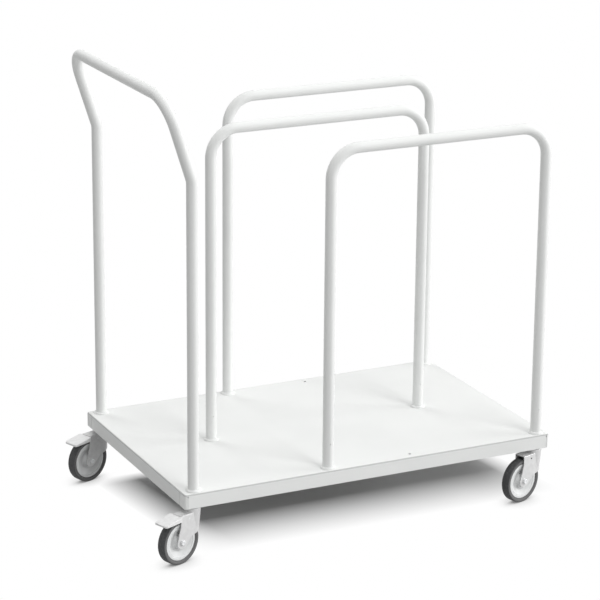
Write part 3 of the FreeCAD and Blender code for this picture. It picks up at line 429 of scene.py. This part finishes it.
def make_tyre(caster):
    """A solid tyre with a ring groove in each sidewall and a fine mould line round the tread."""
    lip_rounding = 0.3 * MM
    shoulder_rounding = 1.6 * MM
    seam_rounding = 0.1 * MM
    start = Vector((RIM_RADIUS, RIM_HALF_WIDTH))
    slope = Vector((SIDEWALL_RADIUS - RIM_RADIUS, TYRE_HALF_WIDTH - RIM_HALF_WIDTH))
    half = [(RIM_RADIUS, RIM_HALF_WIDTH, lip_rounding)]
    for part, sunk in ((0.3, 0), (0.36, 1), (0.5, 1), (0.56, 0)):
        point = start + slope * part
        half.append((point.x, point.y - sunk * SIDEWALL_GROOVE_DEPTH, lip_rounding))
    half += [(SIDEWALL_RADIUS, TYRE_HALF_WIDTH, shoulder_rounding),
             (WHEEL_RADIUS - SEAM_HEIGHT, TYRE_HALF_WIDTH, TREAD_ROUNDING),
             (WHEEL_RADIUS - SEAM_HEIGHT, 0.5 * MM, seam_rounding),
             (WHEEL_RADIUS, 0.2 * MM, seam_rounding)]
    mesh = bmesh.new()
    add_turned(mesh, rounded(both_sides(half)))
    # Marks where the sidewalls' painted light goes.
    mark(mesh, SIDEWALL, lambda radius: (TREAD_EDGE_RADIUS - radius) / SHOULDER_BLEND)
    finish_piece(mesh, caster + "_tyre_moulded", wheel_place(caster), caster + "_wheel", "tyre",
                 caster + "_tyre")


def make_wheel_centre(caster):
    """A moulded centre: a ring, a fine groove, a dish that deepens towards the hub, and the hub."""
    fine_rounding = 0.4 * MM
    edge_rounding = 0.5 * MM
    hub_rounding = 1.0 * MM
    root_rounding = 4.0 * MM
    slope = (RIM_HALF_WIDTH - WEB_HALF_WIDTH) / (BEAD_RADIUS - WEB_RADIUS)

    def dish(radius, sunk):
        return radius, WEB_HALF_WIDTH + slope * (radius - WEB_RADIUS) - sunk, fine_rounding

    # How strongly the dish takes its painted shade at a radius.
    def hollow(radius):
        inwards = (HOLLOW_EDGE_RADIUS - radius) / (HOLLOW_EDGE_RADIUS - WEB_RADIUS)
        outwards = (radius - HUB_RADIUS) / (ROOT_RADIUS - HUB_RADIUS)
        return min(inwards, outwards)

    half = [(BORE_RADIUS, HUB_HALF_WIDTH, edge_rounding), (HUB_RADIUS, HUB_HALF_WIDTH, hub_rounding),
            (ROOT_RADIUS, ROOT_HALF_WIDTH, root_rounding), (WEB_RADIUS, WEB_HALF_WIDTH, root_rounding)]
    half += map(dish, DISH_GROOVE_RADII, (0.0, DISH_GROOVE_DEPTH, DISH_GROOVE_DEPTH, 0.0))
    half += [(BEAD_RADIUS, RIM_HALF_WIDTH, fine_rounding), (RIM_RADIUS, RIM_HALF_WIDTH, edge_rounding)]
    mesh = bmesh.new()
    add_turned(mesh, rounded(both_sides(half)))
    mark(mesh, HOLLOW, hollow)
    finish_piece(mesh, caster + "_wheel_dish", wheel_place(caster), caster + "_wheel", "wheel_centre",
                 caster + "_wheel_centre")


def make_axle(caster):
    """The axle bolt with its chamfered head and threaded end, and its nut."""
    inside_head = FORK_HALF_WIDTH + AXLE_HEAD / 2
    end = FORK_HALF_WIDTH + AXLE_NUT + AXLE_END
    plain_end = 0.5 * MM
    centre_mark = 0.4 * MM
    thread_rounding = 0.1 * MM
    corners = [(centre_mark, inside_head, 0), (AXLE_RADIUS, inside_head, 0),
               (AXLE_RADIUS, -FORK_HALF_WIDTH, 0)]
    turn = 0
    while FORK_HALF_WIDTH + (turn + 1) * THREAD_PITCH < end - plain_end:
        crest = -FORK_HALF_WIDTH - turn * THREAD_PITCH
        corners.append((AXLE_RADIUS - THREAD_DEPTH, crest - THREAD_PITCH * 0.5, thread_rounding))
        corners.append((AXLE_RADIUS, crest - THREAD_PITCH, thread_rounding))
        turn += 1
    corners += [(AXLE_RADIUS - AXLE_END_CHAMFER, -end, 0), (centre_mark, -end, 0)]
    bolt = bmesh.new()
    add_turned(bolt, rounded(corners, steps=2), segments=32)
    add_hexagon(bolt, AXLE_FLATS, FORK_HALF_WIDTH, FORK_HALF_WIDTH + AXLE_HEAD)
    finish_piece(bolt, caster + "_axle_bolt_turned", wheel_place(caster), caster + "_caster", "fixings",
                 caster + "_axle_bolt")
    nut = bmesh.new()
    add_hexagon(nut, AXLE_FLATS, -FORK_HALF_WIDTH - AXLE_NUT, -FORK_HALF_WIDTH, AXLE_RADIUS)
    finish_piece(nut, caster + "_axle_nut_chamfered", wheel_place(caster), caster + "_caster", "fixings",
                 caster + "_axle_nut")


def paint_nodes():
    """Gives every CAD node the finish of its slot in the record."""
    for entry in frame["record"]["subparts"]:
        piece = frame["nodes"][entry["node"]]
        piece.data.materials.clear()
        piece.data.materials.append(MATERIALS[entry["material_slot"]])


def make_camera():
    """The camera at the photograph's place."""
    turn, rise, roll = (math.radians(angle) for angle in (CAMERA_TURN, CAMERA_RISE, CAMERA_ROLL))
    target = Vector((DECK_CENTRE.x, DECK_CENTRE.y, 0)) + CAMERA_TARGET
    back = Vector((math.sin(turn) * math.cos(rise), -math.cos(turn) * math.cos(rise), math.sin(rise)))
    level_right = Vector((math.cos(turn), math.sin(turn), 0))
    level_up = back.cross(level_right)
    right = level_right * math.cos(roll) + level_up * math.sin(roll)
    up = level_up * math.cos(roll) - level_right * math.sin(roll)
    lens = bpy.data.cameras.new("camera")
    lens.sensor_width = SENSOR_WIDTH
    lens.lens = FOCAL_PIXELS * SENSOR_WIDTH / FRAME_PIXELS
    lens.clip_end = 100
    camera = bpy.data.objects.new("camera", lens)
    pose = Matrix((right, up, back)).transposed().to_4x4()
    pose.translation = target + back * CAMERA_DISTANCE
    camera.matrix_world = pose
    bpy.context.scene.collection.objects.link(camera)
    bpy.context.scene.camera = camera


def make_lamps():
    """Soft square lamps, strongest from the front and right."""
    for name, place, size, power in LAMPS:
        light = bpy.data.lights.new(name, "AREA")
        light.shape = "SQUARE"
        light.size = size
        light.energy = power
        lamp = bpy.data.objects.new(name, light)
        direction = LAMP_AIM - Vector(place)
        turn = direction.to_track_quat("-Z", "Y").to_matrix().to_4x4()
        lamp.matrix_world = Matrix.Translation(place) @ turn
        bpy.context.scene.collection.objects.link(lamp)


def make_surround():
    """A surround that is seen and reflected as white, and lights the trolley softly."""
    world = bpy.data.worlds.new("surround")
    bpy.context.scene.world = world
    world.use_nodes = True
    tree = world.node_tree
    tree.nodes.clear()
    path = tree.nodes.new("ShaderNodeLightPath")
    seen = path.outputs["Is Camera Ray"]
    for kind in REFLECTED_RAYS:
        either = tree.nodes.new("ShaderNodeMath")
        either.operation = "MAXIMUM"
        tree.links.new(seen, either.inputs[0])
        tree.links.new(path.outputs[kind], either.inputs[1])
        seen = either.outputs["Value"]
    mix = tree.nodes.new("ShaderNodeMixShader")
    tree.links.new(seen, mix.inputs["Fac"])
    for slot, strength in ((1, WORLD_LIGHT), (2, 1)):
        white = tree.nodes.new("ShaderNodeBackground")
        white.inputs["Color"].default_value = (1, 1, 1, 1)
        white.inputs["Strength"].default_value = strength
        tree.links.new(white.outputs["Background"], mix.inputs[slot])
    output = tree.nodes.new("ShaderNodeOutputWorld")
    tree.links.new(mix.outputs["Shader"], output.inputs["Surface"])


def floor_shade(surface):
    """1 where the floor keeps its full shade, under the deck and close to the wheels, and 0 further out."""
    across = surface.add("ShaderNodeSeparateXYZ")
    surface.wire(surface.place, across.inputs["Vector"])
    slant = surface.combine("MULTIPLY", across.outputs["Y"], SHADE_SLANT)
    places = (surface.combine("ADD", across.outputs["X"], slant), across.outputs["Y"])
    near = surface.add("ShaderNodeAmbientOcclusion", samples=CONTACT_SAMPLES)
    near.inputs["Distance"].default_value = CONTACT_REACH
    beside = surface.levels(near.outputs["AO"], CONTACT_FULL, CONTACT_NONE, CONTACT_SHADE, 0)
    under = 1.0
    for axis, edge, full, gone in SHADE_FADES:
        inwards = 1 if edge < DECK_CENTRE[axis] else -1
        inside = surface.levels(places[axis], edge + inwards * full, edge + inwards * gone, 1, 0)
        under = surface.combine("MULTIPLY", under, inside)
    return surface.combine("MAXIMUM", under, beside)


def make_floor():
    """A plain white floor, which keeps the trolley's shadow and is plain white further out."""
    mesh = bpy.data.meshes.new("floor")
    corners = [(x * FLOOR_HALF, y * FLOOR_HALF, 0) for x, y in ((-1, -1), (1, -1), (1, 1), (-1, 1))]
    mesh.from_pydata(corners, [], [(0, 1, 2, 3)])
    floor = bpy.data.objects.new("floor", mesh)
    bpy.context.scene.collection.objects.link(floor)
    surface = Surface("floor_white", (FLOOR_COLOUR,) * 3, 1.0, specular=0.0)
    far = surface.combine("SUBTRACT", 1.0, floor_shade(surface))
    path = surface.add("ShaderNodeLightPath")
    seen = path.outputs["Is Camera Ray"]
    for kind in REFLECTED_RAYS:
        seen = surface.combine("MAXIMUM", seen, path.outputs[kind])
    glow = surface.add("ShaderNodeEmission")
    mix = surface.add("ShaderNodeMixShader")
    surface.wire(surface.combine("MULTIPLY", far, seen), mix.inputs["Fac"])
    surface.wire(surface.shader.outputs["BSDF"], mix.inputs[1])
    surface.wire(glow.outputs["Emission"], mix.inputs[2])
    output = surface.tree.nodes["Material Output"]
    surface.wire(mix.outputs["Shader"], output.inputs["Surface"])
    mesh.materials.append(surface.material)


paint_nodes()
for caster_name in CASTERS:
    make_tyre(caster_name)
    make_wheel_centre(caster_name)
    make_axle(caster_name)
make_camera()
make_lamps()
make_surround()
make_floor()
bpy.context.scene.view_settings.view_transform = "Standard"
